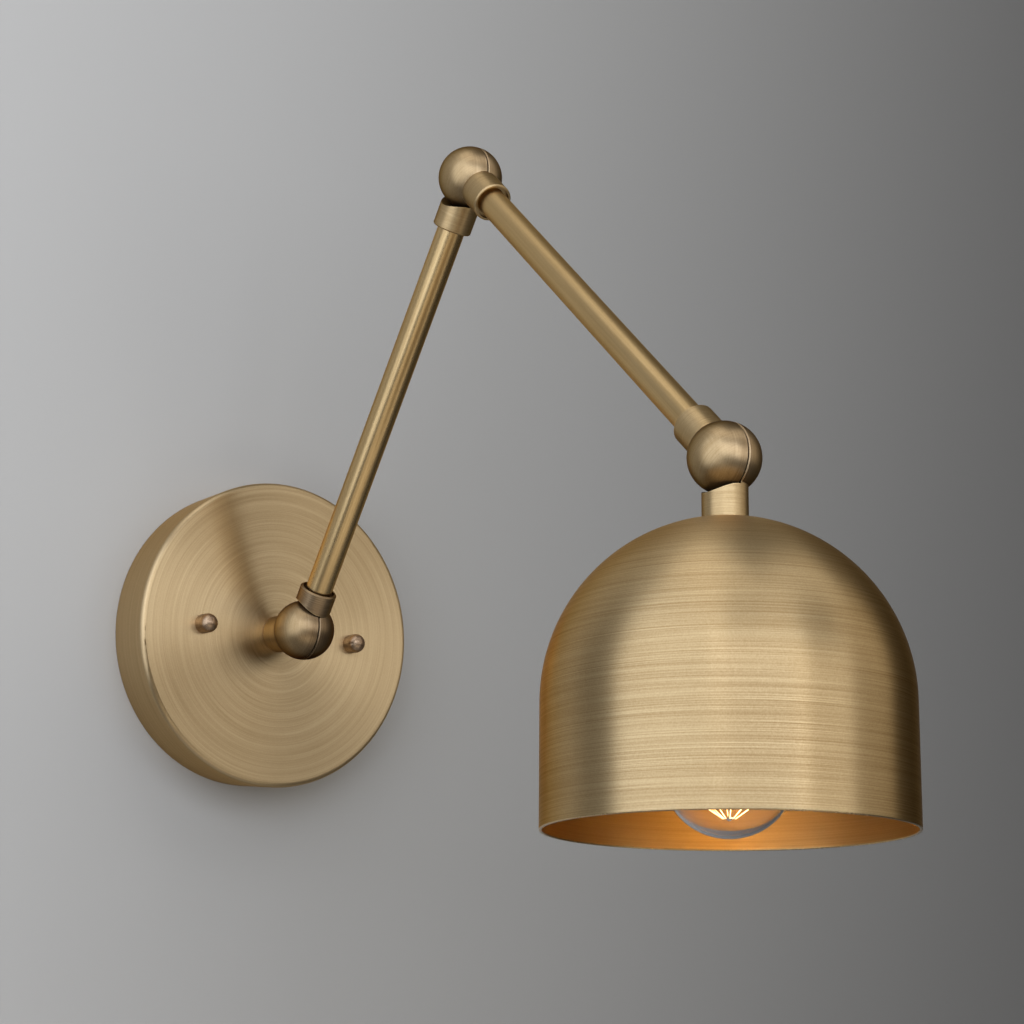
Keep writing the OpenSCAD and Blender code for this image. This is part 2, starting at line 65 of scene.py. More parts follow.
# %% Landmarks, read from the frame
pivots = {joint["name"]: Vector(joint["pos_m"]) for joint in frame["joints"]}
base = pivots["base_swivel"]
elbow = pivots["elbow_swivel"]
hanger = pivots["shade_swivel"]
lower_way = (elbow - base).normalized()
upper_way = (hanger - elbow).normalized()
ACROSS = Vector((1, 0, 0))
OUT_OF_WALL = Vector((0, -1, 0))
SHADE_LEAN = math.radians(4)
down_shade = Vector((0, -math.sin(SHADE_LEAN), -math.cos(SHADE_LEAN)))
NEARLY_ALONG = 0.9


def own_frame(origin, axis):
    """A piece's own frame: Z along its axis, and X across the lamp, or out of the wall for a pivot."""
    first = OUT_OF_WALL if abs(axis.dot(ACROSS)) > NEARLY_ALONG else ACROSS
    turn = Matrix((first, axis.cross(first), axis)).transposed().to_4x4()
    return Matrix.Translation(origin) @ turn


shade_frame = own_frame(hanger, down_shade)
for name in ("shade", "bulb_glass", "canopy"):
    low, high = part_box(name)
    print(name, "is", [round(c / MM, 1) for c in high - low], "mm")

# %% [markdown]
# The camera stands where the photograph was taken from: to the left of the lamp and a little below its
# middle, about a metre away, with a short telephoto lens. A camera can be aimed with a constraint, but a
# matrix built from its own right, up and back directions also takes the small roll of a camera held by
# hand.

# %% Camera
CAMERA_AZIMUTH = math.radians(-35.601)
CAMERA_ELEVATION = math.radians(-10.636)
CAMERA_ROLL = math.radians(2.894)
CAMERA_PLACE = Vector((-0.50554, -0.89777, -0.13055))
FRAME_WIDTH_PX = 1024
FOCAL_LENGTH_PX = 2376.1

camera_data = bpy.data.cameras.new("camera")
camera_data.lens = camera_data.sensor_width * FOCAL_LENGTH_PX / FRAME_WIDTH_PX
camera = bpy.data.objects.new("camera", camera_data)
back = Vector((
    math.sin(CAMERA_AZIMUTH) * math.cos(CAMERA_ELEVATION),
    -math.cos(CAMERA_AZIMUTH) * math.cos(CAMERA_ELEVATION),
    math.sin(CAMERA_ELEVATION),
))
level_right = Vector((math.cos(CAMERA_AZIMUTH), math.sin(CAMERA_AZIMUTH), 0))
level_up = back.cross(level_right)
right = math.cos(CAMERA_ROLL) * level_right + math.sin(CAMERA_ROLL) * level_up
up = back.cross(right)
aim = Matrix((right, up, back)).transposed().to_4x4()
camera.matrix_world = Matrix.Translation(CAMERA_PLACE) @ aim
bpy.context.scene.collection.objects.link(camera)
bpy.context.scene.camera = camera
bpy.context.scene.view_settings.view_transform = "Standard"
print("lens", round(camera_data.lens, 1), "mm")

# %% [markdown]
# Every material below is a small tree of nodes. A tree can be drawn by hand in the editor, but a script
# that adds each node by name can be read and changed, and gives the same tree each time. One helper starts
# a material with its Principled shader, and one adds a node, sets it and links what feeds it.

# %% Helpers that start a node tree


def new_material(name):
    """A material, its node tree and its Principled shader."""
    material = bpy.data.materials.new(name)
    material.use_nodes = True
    tree = material.node_tree
    return material, tree, tree.nodes["Principled BSDF"]


def add(tree, kind, inputs=None, **settings):
    """Adds a node, gives it its settings, and fills or links its inputs."""
    made = tree.nodes.new("ShaderNode" + kind)
    for setting, value in settings.items():
        setattr(made, setting, value)
    for socket, value in (inputs or {}).items():
        if isinstance(value, bpy.types.NodeSocket):
            tree.links.new(value, made.inputs[socket])
        else:
            made.inputs[socket].default_value = value
    return made


# %% [markdown]
# The other helpers are the steps that come up in every tree: a sum, a change of range, a mix of two
# colours, a noise and a bump. All patterns are read at a place on the piece, in Object coordinates. Those
# stay with the piece when its body swings, where the world's coordinates would let the pattern slide over
# it.

# %% Helpers for the steps of a tree


def place_on_piece(tree):
    """Where a point lies on its piece, with the lamp at rest."""
    return add(tree, "TexCoord").outputs["Object"]


def math_node(tree, operation, a, b=0.0, c=0.0):
    """The result of one sum on two values, or three where the sum takes them."""
    return add(tree, "Math", {0: a, 1: b, 2: c}, operation=operation).outputs[0]


def vector_node(tree, operation, a, b=(0, 0, 0), c=(0, 0, 0)):
    """The result of one sum on vectors: a plain number for a length, a distance or a dot product."""
    made = add(tree, "VectorMath", {0: a, 1: b, 2: c}, operation=operation)
    return made.outputs["Value" if operation in ("LENGTH", "DISTANCE", "DOT_PRODUCT") else "Vector"]


def spread(tree, value, low, high, to_low, to_high):
    """Stretches a value from one range to another, and holds it at the ends."""
    return add(tree, "MapRange", {
        "Value": value, "From Min": low, "From Max": high, "To Min": to_low, "To Max": to_high,
    }).outputs["Result"]


def mixed(tree, factor, low, high):
    """A colour between two others, each of them a plain colour or what another node gives."""
    ends = [end if isinstance(end, bpy.types.NodeSocket) else (*end, 1) for end in (low, high)]
    made = add(tree, "Mix", {"Factor": factor, "A": ends[0], "B": ends[1]}, data_type="RGBA")
    return made.outputs["Result"]


def noise_node(tree, place, scale, detail):
    """A noise of so many cells to the metre, between 0 and 1."""
    return add(tree, "TexNoise", {"Vector": place, "Scale": scale, "Detail": detail}).outputs["Fac"]


def raise_surface(tree, shader, height, strength, depth):
    """Makes the light fall as if a value between 0 and 1 raised the surface by a depth."""
    bump = add(tree, "Bump", {"Strength": strength, "Distance": depth, "Height": height})
    tree.links.new(bump.outputs["Normal"], shader.inputs["Normal"])


# %% [markdown]
# Spun and turned brass is brushed in rings: the piece turns in a lathe while an abrasive pad rests on it.
# Drawn tube is brushed along its length. Either way the scratches are much longer than they are wide, so
# their pattern is a noise squeezed across the scratches. A flat projection would slide over a dome, so the
# noise is read in the piece's own cylinder coordinates: the direction round the axis as a point on a
# circle, which has no seam, and the height. Rings on a flat face differ only in their radius, so that is a
# fourth dimension.

# %% Coordinates that follow a turned piece
STREAKS = {"Scale": 1.0, "Detail": 1.0, "Roughness": 0.6}


def around_axis(tree, origin, axis):
    """The height, radius and direction round an axis of each point, and the way the piece turned there."""
    place = place_on_piece(tree)
    inward = own_frame(origin, axis).inverted()
    own = add(tree, "Mapping", {
        "Vector": place,
        "Location": inward.to_translation(),
        "Rotation": inward.to_euler("XYZ"),
    }).outputs["Vector"]
    height = add(tree, "SeparateXYZ", {0: own}).outputs["Z"]
    flat = vector_node(tree, "MULTIPLY", own, (1, 1, 0))
    radius = vector_node(tree, "LENGTH", flat)
    direction = vector_node(tree, "NORMALIZE", flat)
    turned = vector_node(tree, "CROSS_PRODUCT", axis, vector_node(tree, "SUBTRACT", place, origin))
    to_world = add(tree, "VectorTransform", {0: turned}, vector_type="VECTOR",
                   convert_from="OBJECT", convert_to="WORLD")
    return height, radius, direction, to_world.outputs[0]


def cell_place(tree, height, direction, cells_round, cell_height):
    """A place in a noise whose cells are counted round the axis and measured in metres along it."""
    level = add(tree, "CombineXYZ", {2: math_node(tree, "MULTIPLY", height, 1 / cell_height)}).outputs[0]
    return vector_node(tree, "MULTIPLY_ADD", direction, (cells_round, cells_round, 0), level)


def scratches(tree, height, radius, direction, width, cells_round):
    """A noise of rings, each so many metres wide, up the sides of a turned piece and out over its faces."""
    return add(tree, "TexNoise", {
        "Vector": cell_place(tree, height, direction, cells_round, width),
        "W": math_node(tree, "MULTIPLY", radius, 1 / width),
        **STREAKS,
    }, noise_dimensions="4D").outputs["Fac"]


def grain(tree, height, direction, cells_round, length):
    """A noise of streaks along a tube, each of them so many metres long."""
    place = cell_place(tree, height, direction, cells_round, length)
    return add(tree, "TexNoise", {"Vector": place, **STREAKS}).outputs["Fac"]


# %% [markdown]
# Aged brass keeps its metal shine under a thin brown oxide. Scratches that cut through the oxide show
# bright brass, and the ground between them stays brown, so one noise drives colour and roughness together,
# and its fine lines alone are also a shallow bump. That noise is a sum of fine lines, wider bands, a slow
# cloud as hands leave it, and tiny pits.

# %% The pattern of the brushing
BAND_CELLS_ROUND = 0.35
LINE_CELLS_ROUND = 1.0
TUBE_BANDS = (2.2, 90 * MM)
TUBE_LINES = (6.0, 60 * MM)
CLOUDS_PER_METRE = 28.0
PITS_PER_METRE = 1800.0
LINE_SHARE = 0.42
BAND_SHARE = 0.3
CLOUD_SHARE = 0.13
PIT_SHARE = 0.15


def brushing(tree, origin, axis, rings, band, line):
    """Where the oxide is worn, the fine lines alone, and the direction of the wider blur."""
    height, radius, direction, turned = around_axis(tree, origin, axis)
    if rings:
        bands = scratches(tree, height, radius, direction, band, BAND_CELLS_ROUND)
        lines = scratches(tree, height, radius, direction, line, LINE_CELLS_ROUND)
        normal = add(tree, "NewGeometry").outputs["Normal"]
        blur = vector_node(tree, "CROSS_PRODUCT", normal, turned)
    else:
        bands = grain(tree, height, direction, *TUBE_BANDS)
        lines = grain(tree, height, direction, *TUBE_LINES)
        blur = turned
    place = place_on_piece(tree)
    cloud = noise_node(tree, place, CLOUDS_PER_METRE, detail=4.0)
    pits = noise_node(tree, place, PITS_PER_METRE, detail=1.0)
    worn = math_node(tree, "MULTIPLY", lines, LINE_SHARE)
    for pattern, share in ((bands, BAND_SHARE), (cloud, CLOUD_SHARE), (pits, PIT_SHARE)):
        worn = math_node(tree, "MULTIPLY_ADD", pattern, share, worn)
    return worn, lines, blur


# %% [markdown]
# The metal reads that pattern four times. Its colour and its roughness follow the worn places, its bump
# follows the lines, and the direction of the blur goes to the tangent. The shader's anisotropy then
# stretches every highlight square to the brushing, which draws the long bands of light on the shade. A
# plain glossy metal would show the lamps as round spots. Seen edge on, brass reflects redder than its
# colour, so the tint at the edge is given too.

# %% Helpers for brushed brass
BRASS_LIGHT = (0.57, 0.43, 0.24)
BRASS_DARK = (0.35, 0.23, 0.105)
EDGE_ON_TINT = (0.8, 0.55, 0.3, 1)
LEAST_WORN = 0.34
MOST_WORN = 0.66
DULLER = 0.06
GLOSSIER = 0.05
SCRATCH_DEPTH = 0.01 * MM


def brass_shader(tree, shader, worn, lines, blur, colour, rough, shine, edge_tint=EDGE_ON_TINT):
    """Links a brushing to the metal's colour, roughness, bump and stretched highlights."""
    gloss = spread(tree, worn, LEAST_WORN, MOST_WORN, rough + DULLER, rough - GLOSSIER)
    tree.links.new(colour, shader.inputs["Base Color"])
    tree.links.new(gloss, shader.inputs["Roughness"])
    tree.links.new(blur, shader.inputs["Tangent"])
    shader.inputs["Metallic"].default_value = 1.0
    shader.inputs["Anisotropic"].default_value = shine
    shader.inputs["Specular Tint"].default_value = edge_tint
    raise_surface(tree, shader, lines, strength=0.25, depth=SCRATCH_DEPTH)


def brushed_brass(name, origin, axis, rings=True, light=BRASS_LIGHT, dark=BRASS_DARK, rough=0.36, shine=0.7,
                  band=0.8 * MM, line=0.3 * MM, contrast=1.0):
    """Brass brushed round its axis, or along it where rings is false."""
    material, tree, shader = new_material(name)
    worn, lines, blur = brushing(tree, origin, axis, rings, band, line)
    tone = spread(tree, worn, LEAST_WORN, MOST_WORN, 0.5 - contrast / 2, 0.5 + contrast / 2)
    brass_shader(tree, shader, worn, lines, blur, mixed(tree, tone, dark, light), rough, shine)
    return material


# %% [markdown]
# The canopy, the two tubes and the shade are the same aged brass, each brushed in its own way. The canopy
# is a shallow dish with coarse rings about its middle. The tubes are drawn, brushed lengthwise and a
# little more golden. The shade has the finest rings. Its inside is a duller brass, and its warmer, more
# orange tone is a painted warm glow on top of the bulb's own light.

# %% Brass of the canopy, the tubes and the shade
TUBE_LIGHT = (0.64, 0.47, 0.245)
TUBE_DARK = (0.40, 0.265, 0.115)


def finish_nodes(material, *names):
    """Puts a finish on CAD nodes, whose shapes stay as they are."""
    for name in names:
        nodes[name].data.materials.clear()
        nodes[name].data.materials.append(material)


canopy_brass = brushed_brass("canopy_brass", Vector((0, 0, 0)), OUT_OF_WALL, light=(0.59, 0.455, 0.275),
                             dark=(0.38, 0.265, 0.135), rough=0.34, shine=0.8, contrast=0.6,
                             band=1.2 * MM, line=0.5 * MM)
lower_brass = brushed_brass("lower_tube_brass", base, lower_way, rings=False, light=TUBE_LIGHT,
                            dark=TUBE_DARK, rough=0.29, shine=0.5, contrast=0.6)
upper_brass = brushed_brass("upper_tube_brass", elbow, upper_way, rings=False, light=TUBE_LIGHT,
                            dark=TUBE_DARK, rough=0.36, shine=0.6, contrast=0.5)
finish_nodes(canopy_brass, "canopy")
finish_nodes(lower_brass, "lower_arm_tube")
finish_nodes(upper_brass, "upper_arm_tube")
shade_brass = brushed_brass("shade_brass", hanger, down_shade, band=0.5 * MM, line=0.2 * MM, contrast=1.15)
# The inside's more orange tones are a painted warm glow of the bulb.
inside_brass_painted_glow = brushed_brass("shade_inside_painted_glow", hanger, down_shade, light=(0.60, 0.40, 0.17),
                             dark=(0.42, 0.26, 0.09), rough=0.45, shine=0.2, contrast=0.5)
print(len(bpy.data.materials), "materials so far")

# %% [markdown]
# Each half of a swivel is turned twice, about the pivot screw for its ball and about the hub for its neck,
# so its finish has two sets of rings, and the distance from the swivel's centre picks one. The ball is
# darker, and light and shade are painted on it: it is lighter on the side toward the room, and a painted
# shade deepens away from that side. Handling wears the edges, and the edges are also painted lighter as a
# painted highlight: a Bevel node rounds the surface normal near an edge, and how far that differs from the
# true normal shows where the edges are.

# %% Helpers for the swivels' brass
BALL_RADIUS = 12.4 * MM
HUB_BLEND = 0.3 * MM
BALL_RINGS = (0.9 * MM, 0.3 * MM)
HUB_RINGS = (0.6 * MM, 0.2 * MM)
# Painted light and shade on the balls: the way that their lit side faces, the range over which painted
# shade turns to lit, and the brown of that painted shade.
PAINTED_LIGHT_WAY = Vector((-0.3, -0.88, 0.15)).normalized()
FULL_PAINTED_SHADE_AT = 0.22
FULL_PAINTED_LIGHT_AT = 0.95
PAINTED_SHADE_BROWN = (0.055, 0.036, 0.02)
OXIDE_EDGE_TINT = (0.3, 0.21, 0.125, 1)
FLAT = 0.98
ROUNDED_OFF = 0.86


def edge_wear_and_highlight(tree, reach):
    """How near a point lies to a sharp edge, from 0 on a face to 1 on the edge."""
    true_normal = add(tree, "NewGeometry").outputs["Normal"]
    rounded = add(tree, "Bevel", {"Radius": reach}, samples=4).outputs[0]
    same = vector_node(tree, "DOT_PRODUCT", true_normal, rounded)
    return spread(tree, same, FLAT, ROUNDED_OFF, 0.0, 1.0)


def painted_ball_light_and_shade(tree, place, pivot):
    """Painted light and shade on a ball, from 0, painted shade toward the wall, to 1, lit toward the room.
    """
    outwards = vector_node(tree, "NORMALIZE", vector_node(tree, "SUBTRACT", place, pivot))
    facing = vector_node(tree, "DOT_PRODUCT", outwards, PAINTED_LIGHT_WAY)
    return spread(tree, facing, FULL_PAINTED_SHADE_AT, FULL_PAINTED_LIGHT_AT, 0.0, 1.0)


def swivel_brass(name, pivot, way, ball, hub):
    """Aged brass in two pairs of tones, with rings about the pivot on the ball and about the hub beyond."""
    material, tree, shader = new_material(name)
    on_ball = brushing(tree, pivot, ACROSS, True, *BALL_RINGS)
    on_hub = brushing(tree, pivot, way, True, *HUB_RINGS)
    place = place_on_piece(tree)
    distance = vector_node(tree, "DISTANCE", place, pivot)
    beyond = spread(tree, distance, BALL_RADIUS, BALL_RADIUS + HUB_BLEND, 0.0, 1.0)
    worn, lines, blur = (
        add(tree, "Mix", {"Factor": beyond, "A": at_ball, "B": at_hub}, data_type=kind).outputs["Result"]
        for at_ball, at_hub, kind in zip(on_ball, on_hub, ("FLOAT", "FLOAT", "VECTOR"))
    )
    tone = spread(tree, worn, LEAST_WORN, MOST_WORN, 0.15, 0.85)
    # The ball's colour turns to a painted shade away from its lit side.
    ball_colour_with_painted_shade = mixed(tree, painted_ball_light_and_shade(tree, place, pivot), PAINTED_SHADE_BROWN, mixed(tree, tone, *ball))
    colour = mixed(tree, beyond, ball_colour_with_painted_shade, mixed(tree, tone, *hub))
    # Edges are painted lighter: partly wear, and partly a painted highlight on lips and chamfers.
    edge_wear_and_highlight_colour = mixed(tree, beyond, ball[1], TUBE_LIGHT)
    colour = mixed(tree, edge_wear_and_highlight(tree, reach=0.35 * MM), colour, edge_wear_and_highlight_colour)
    brass_shader(tree, shader, worn, lines, blur, colour, rough=0.39, shine=0.2, edge_tint=OXIDE_EDGE_TINT)
    return material


# %% [markdown]
# The two upper swivels are bronze brown on the ball and as golden as the rest on the hub. At the lowest
# one, the ball and the lower arm's hub take a darker pair of tones. Each of the six halves needs a material
# of its own, because each has its own pivot and its own hub to draw rings about.

# %% Brass of the swivels
brass = (BRASS_DARK, BRASS_LIGHT)
bronze = ((0.26, 0.17, 0.085), (0.56, 0.42, 0.26))
darker_bronze = ((0.16, 0.10, 0.052), (0.40, 0.29, 0.175))
for name, origin, way, ball, hub in (
    ("neck_half", base, OUT_OF_WALL, darker_bronze, brass),
    ("lower_arm_base_half", base, lower_way, darker_bronze, darker_bronze),
    ("lower_arm_elbow_half", elbow, lower_way, bronze, brass),
    ("upper_arm_elbow_half", elbow, upper_way, bronze, brass),
    ("upper_arm_shade_half", hanger, upper_way, bronze, brass),
    ("shade_half", hanger, down_shade, bronze, brass),
):
    finish_nodes(swivel_brass(name + "_brass", origin, way, ball, hub), name)
print(len(bpy.data.materials), "materials so far")

# %% [markdown]
# Small fittings aren't brushed. The cap nuts and pivot screws are tumbled in a barrel, which leaves a fine
# even grain with no direction. What the lamp hides is finished too, because its back is open and its shade
# can be looked into: the straps, studs and nuts are steel with a thin zinc plating, a slightly mottled
# grey, and the lampholder's screw shell and contacts are bright stamped brass. One helper makes all of
# these metals. The cap that is rolled on to the bulb is pale and soft, and is the brushed brass with other
# tones.

# %% Tumbled, plated and stamped metals
LEAST_NOISE = 0.35
MOST_NOISE = 0.65
METAL_CLOUDS_PER_METRE = 120.0


def satin_metal(name, light, dark, rough, grain_size, worn_and_highlit_edge=None):
    """A tumbled or plated metal: fine grain, slow cloud, edges painted lighter for wear and highlight."""
    material, tree, shader = new_material(name)
    place = place_on_piece(tree)
    fine = noise_node(tree, place, 1 / grain_size, detail=2.0)
    cloud = noise_node(tree, place, METAL_CLOUDS_PER_METRE, detail=3.0)
    both = math_node(tree, "MULTIPLY_ADD", fine, 0.5, math_node(tree, "MULTIPLY", cloud, 0.5))
    colour = mixed(tree, spread(tree, both, LEAST_NOISE, MOST_NOISE, 0.0, 1.0), dark, light)
    # If asked, the edges are painted lighter: partly wear, partly a painted highlight.
    if worn_and_highlit_edge:
        colour = mixed(tree, edge_wear_and_highlight(tree, reach=0.3 * MM), colour, worn_and_highlit_edge)
    gloss = spread(tree, both, LEAST_NOISE, MOST_NOISE, rough + DULLER, rough - GLOSSIER)
    tree.links.new(colour, shader.inputs["Base Color"])
    tree.links.new(gloss, shader.inputs["Roughness"])
    shader.inputs["Metallic"].default_value = 1.0
    raise_surface(tree, shader, fine, strength=0.3, depth=SCRATCH_DEPTH)
    return material


# The nuts' and the zinc's edges are painted lighter, partly as wear and partly as a painted highlight.
nut_brass = satin_metal("nut_brass", light=(0.54, 0.40, 0.27), dark=(0.27, 0.175, 0.11), rough=0.36,
                        grain_size=0.4 * MM, worn_and_highlit_edge=BRASS_LIGHT)
zinc = satin_metal("zinc_plate", light=(0.66, 0.67, 0.70), dark=(0.44, 0.45, 0.47), rough=0.34,
                   grain_size=0.5 * MM, worn_and_highlit_edge=(0.78, 0.78, 0.8))
stamped_brass = satin_metal("stamped_brass", light=(0.80, 0.62, 0.30), dark=(0.62, 0.45, 0.18), rough=0.26,
                            grain_size=0.3 * MM)
rolled_cap = brushed_brass("rolled_cap", hanger, down_shade, light=(0.80, 0.79, 0.74),
                           dark=(0.60, 0.58, 0.53), rough=0.3, shine=0.4)
finish_nodes(nut_brass, "cap_nuts", "socket_cap", "base_pivot_screw", "elbow_pivot_screw",
             "shade_pivot_screw")
finish_nodes(zinc, "box_strap", "stud_strap", "strap_rivet", "stud_locknuts", "nipple_washer",
             "nipple_locknut", "base_spring_washer", "elbow_spring_washer", "shade_spring_washer",
             "shade_washer", "shade_locknut", "bulb_supports")
finish_nodes(stamped_brass, "socket_shell", "socket_contact", "terminal_screws")
finish_nodes(rolled_cap, "bulb_cap")
print(len(bpy.data.materials), "materials so far")

# %% [markdown]
# The other hidden pieces aren't bare metal. The ground screw is dyed green, and the dye lets some of the
# metal's shine through. The lampholder's body is moulded phenolic, glossy and nearly black, with the faint
# flow marks of its moulding. The washers between the ball halves are pressed fibre, dull and felted, and
# the insulator at the bulb's tip is black glass. One noise gives each of them its tone, gloss and surface,
# stretched one way where the stuff flowed or was felted.

# %% Dyed, moulded and pressed finishes
MOULD_SHINE = 0.04


def moulded(name, light, dark, rough, scale, depth, stretch=(1, 1, 1), metal=0.0):
    """A finish whose colour, gloss and surface all follow one noise, and that may be partly metal."""
    material, tree, shader = new_material(name)
    place = add(tree, "Mapping", {"Vector": place_on_piece(tree), "Scale": stretch}).outputs[0]
    noise = noise_node(tree, place, scale, detail=4.0)
    colour = mixed(tree, spread(tree, noise, LEAST_NOISE, MOST_NOISE, 0.0, 1.0), dark, light)
    gloss = spread(tree, noise, LEAST_NOISE, MOST_NOISE, rough - MOULD_SHINE, rough + DULLER)
    tree.links.new(colour, shader.inputs["Base Color"])
    tree.links.new(gloss, shader.inputs["Roughness"])
    shader.inputs["Metallic"].default_value = metal
    raise_surface(tree, shader, noise, strength=0.4, depth=depth)
    return material


green_dye = moulded("green_dye", light=(0.10, 0.42, 0.17), dark=(0.06, 0.30, 0.12), rough=0.32,
                    scale=900.0, depth=0.01 * MM, metal=0.6)
phenolic = moulded("phenolic", light=(0.055, 0.046, 0.04), dark=(0.022, 0.018, 0.016), rough=0.22,
                   scale=160.0, depth=0.02 * MM, stretch=(1, 1, 3))
pressed_fibre = moulded("pressed_fibre", light=(0.085, 0.075, 0.07), dark=(0.035, 0.03, 0.028), rough=0.85,
                        scale=1400.0, depth=0.05 * MM, stretch=(0.3, 1, 1))
black_glass = moulded("black_cap_glass", light=(0.035, 0.035, 0.04), dark=(0.012, 0.012, 0.015), rough=0.14,
                      scale=300.0, depth=0.02 * MM)
finish_nodes(green_dye, "ground_screw")
finish_nodes(phenolic, "socket_body")
finish_nodes(pressed_fibre, "base_friction_washer", "elbow_friction_washer", "shade_friction_washer")
finish_nodes(black_glass, "bulb_insulator")
print(len(bpy.data.materials), "materials so far")

# %% [markdown]
# The shade, the bulb's globe and its stem are all round, so each is drawn as half a section, a profile in
# the plane of its axis, and spun round that axis. These helpers draw the profile: one sets its first
# vertex, and the others draw it on in a line or in an arc, which is itself a spin of one vertex. An arc
# is smooth at any number of steps, which a list of points would not be.

# %% Helpers that draw a profile


def start_point(bm, radius, height):
    """The first vertex of a profile."""
    return bmesh.ops.create_vert(bm, co=(radius, 0, height))["vert"][0]


def line_to(bm, vertex, radius, height):
    """Draws a profile on in a straight line."""
    drawn = bmesh.ops.extrude_vert_indiv(bm, verts=[vertex])["verts"][0]
    drawn.co = (radius, 0, height)
    return drawn


def arc_to(bm, vertex, radius, height, degrees, steps):
    """Draws a profile on in an arc round a centre; a positive angle turns from the height to the radius."""
    swept = bmesh.ops.spin(
        bm, geom=[vertex], cent=(radius, 0, height), axis=(0, 1, 0), angle=math.radians(degrees),
        steps=steps)
    return [v for v in swept["geom_last"] if isinstance(v, bmesh.types.BMVert)][0]


# %% [markdown]
# A spun profile has no thickness yet. Solidify gives the sheet its wall, after the doubles on the axis are
# merged and the faces all point outwards, since a wall grown from muddled faces would turn inside out. The
# cut rim is then rounded, because a sheet's edge is always broken before anyone may touch it. A finished
# piece keeps its place in its mesh, so that patterns on Object coordinates stay where they were measured.

# %% Helpers that turn and finish a piece
SPIN_STEPS = 144
MERGE_REACH = 0.001 * MM
RIM_REACH = 0.01 * MM
SHARP = math.radians(60)
SMOOTH_BELOW = math.radians(40)


def round_rim(bm, height, reach):
    """Rounds the sharp edges that lie at one height of a turned piece."""
    rim = [
        edge for edge in bm.edges
        if edge.calc_face_angle(0) > SHARP and all(abs(v.co.z - height) < RIM_REACH for v in edge.verts)
    ]
    bmesh.ops.bevel(bm, geom=rim, offset=reach, segments=3, profile=0.5, affect="EDGES", material=-1)
    print("rounded", len(rim), "edges of the rim")


def finished(name, bm, origin_frame, body, material):
    """Turns a bmesh into a piece that stands in its place and rides on its body."""
    bmesh.ops.transform(bm, matrix=origin_frame, verts=bm.verts)
    for face in bm.faces:
        face.smooth = True
    for edge in bm.edges:
        edge.smooth = edge.calc_face_angle(0) < SMOOTH_BELOW
    mesh = bpy.data.meshes.new(name)
    bm.to_mesh(mesh)
    bm.free()
    mesh.materials.append(material)
    piece = bpy.data.objects.new(name, mesh)
    bpy.context.scene.collection.objects.link(piece)
    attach(piece, body)
    print(name, "has", len(mesh.polygons), "faces")
    return piece


def turned_piece(name, bm, material, sheet=0.0, rim=None):
    """Spins a profile round the shade's axis, gives it a wall and a rim, and hangs it on that body."""
    bmesh.ops.spin(
        bm, geom=bm.verts[:] + bm.edges[:], cent=(0, 0, 0), axis=(0, 0, 1), angle=math.tau,
        steps=SPIN_STEPS, use_merge=True)
    bmesh.ops.remove_doubles(bm, verts=bm.verts, dist=MERGE_REACH)
    bmesh.ops.recalc_face_normals(bm, faces=bm.faces)
    if sheet:
        bmesh.ops.solidify(bm, geom=bm.faces[:], thickness=sheet)
    if rim:
        round_rim(bm, *rim)
    return finished(name, bm, shade_frame, "shade_side", material)


# %% [markdown]
# The dome shade is spun from a flat disc of brass: the disc is pressed over a turning former until it has
# the former's shape, then its rim is trimmed and rounded. It could be a sphere cut open, but its profile
# is an arc that runs into a straight skirt, with a small flat at the crown where the swivel's hub sits. So
# one vertex is drawn out over that flat, through the arc and down to the rim, and the profile is spun as
# the metal was.

# %% The spun shade
SHADE_RADIUS = 61 * MM
SHADE_SHEET = 1 * MM
CROWN_RADIUS = 8.6 * MM
CROWN_HOLE = 5.3 * MM
CROWN_EDGE = 0.3 * MM
HUB_LENGTH = 21.8 * MM
RIM_DROP = 123.8 * MM
RIM_EDGE = 1 * MM
RIM_ROUNDING = 0.35 * MM
SKIRT_STEP = 20 * MM
DOME_STEPS = 64
DOME_CENTRE = HUB_LENGTH + math.sqrt(SHADE_RADIUS ** 2 - CROWN_RADIUS ** 2)

bm = bmesh.new()
crown_tilt = math.degrees(math.asin(CROWN_RADIUS / SHADE_RADIUS))
vertex = start_point(bm, CROWN_HOLE, HUB_LENGTH)
vertex = line_to(bm, vertex, CROWN_RADIUS - CROWN_EDGE, HUB_LENGTH)
vertex = line_to(bm, vertex, CROWN_RADIUS, HUB_LENGTH)
vertex = arc_to(bm, vertex, 0, DOME_CENTRE, -(90 - crown_tilt), DOME_STEPS)
print("the arc ends at", [round(c / MM, 2) for c in vertex.co])
print("the skirt starts at", round(DOME_CENTRE / MM, 2))
for height in (DOME_CENTRE + SKIRT_STEP, RIM_DROP - RIM_EDGE, RIM_DROP):
    vertex = line_to(bm, vertex, SHADE_RADIUS, height)
shade = turned_piece("spun_shade", bm, shade_brass, sheet=SHADE_SHEET,
                     rim=(RIM_DROP, RIM_ROUNDING))
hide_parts("shade")
print("shade is", [round(c / MM, 1) for c in shade.dimensions], "mm")

# %% [markdown]
# The shade's outside is aged. Its inside is a duller brass whose more orange tone is a painted warm glow,
# and its rim is a lighter, glossier brass, partly rubbed bright by being handled and set down, and partly a
# painted highlight. Three objects could carry the three finishes, but they would have to meet exactly. A
# mesh may hold several materials instead, and each face says which it takes: a face on the rim lies below
# the rounding, and a face inside looks back at the middle of the dome.

# %% The shade's inside and rim
OUTSIDE, INSIDE, RIM = range(3)
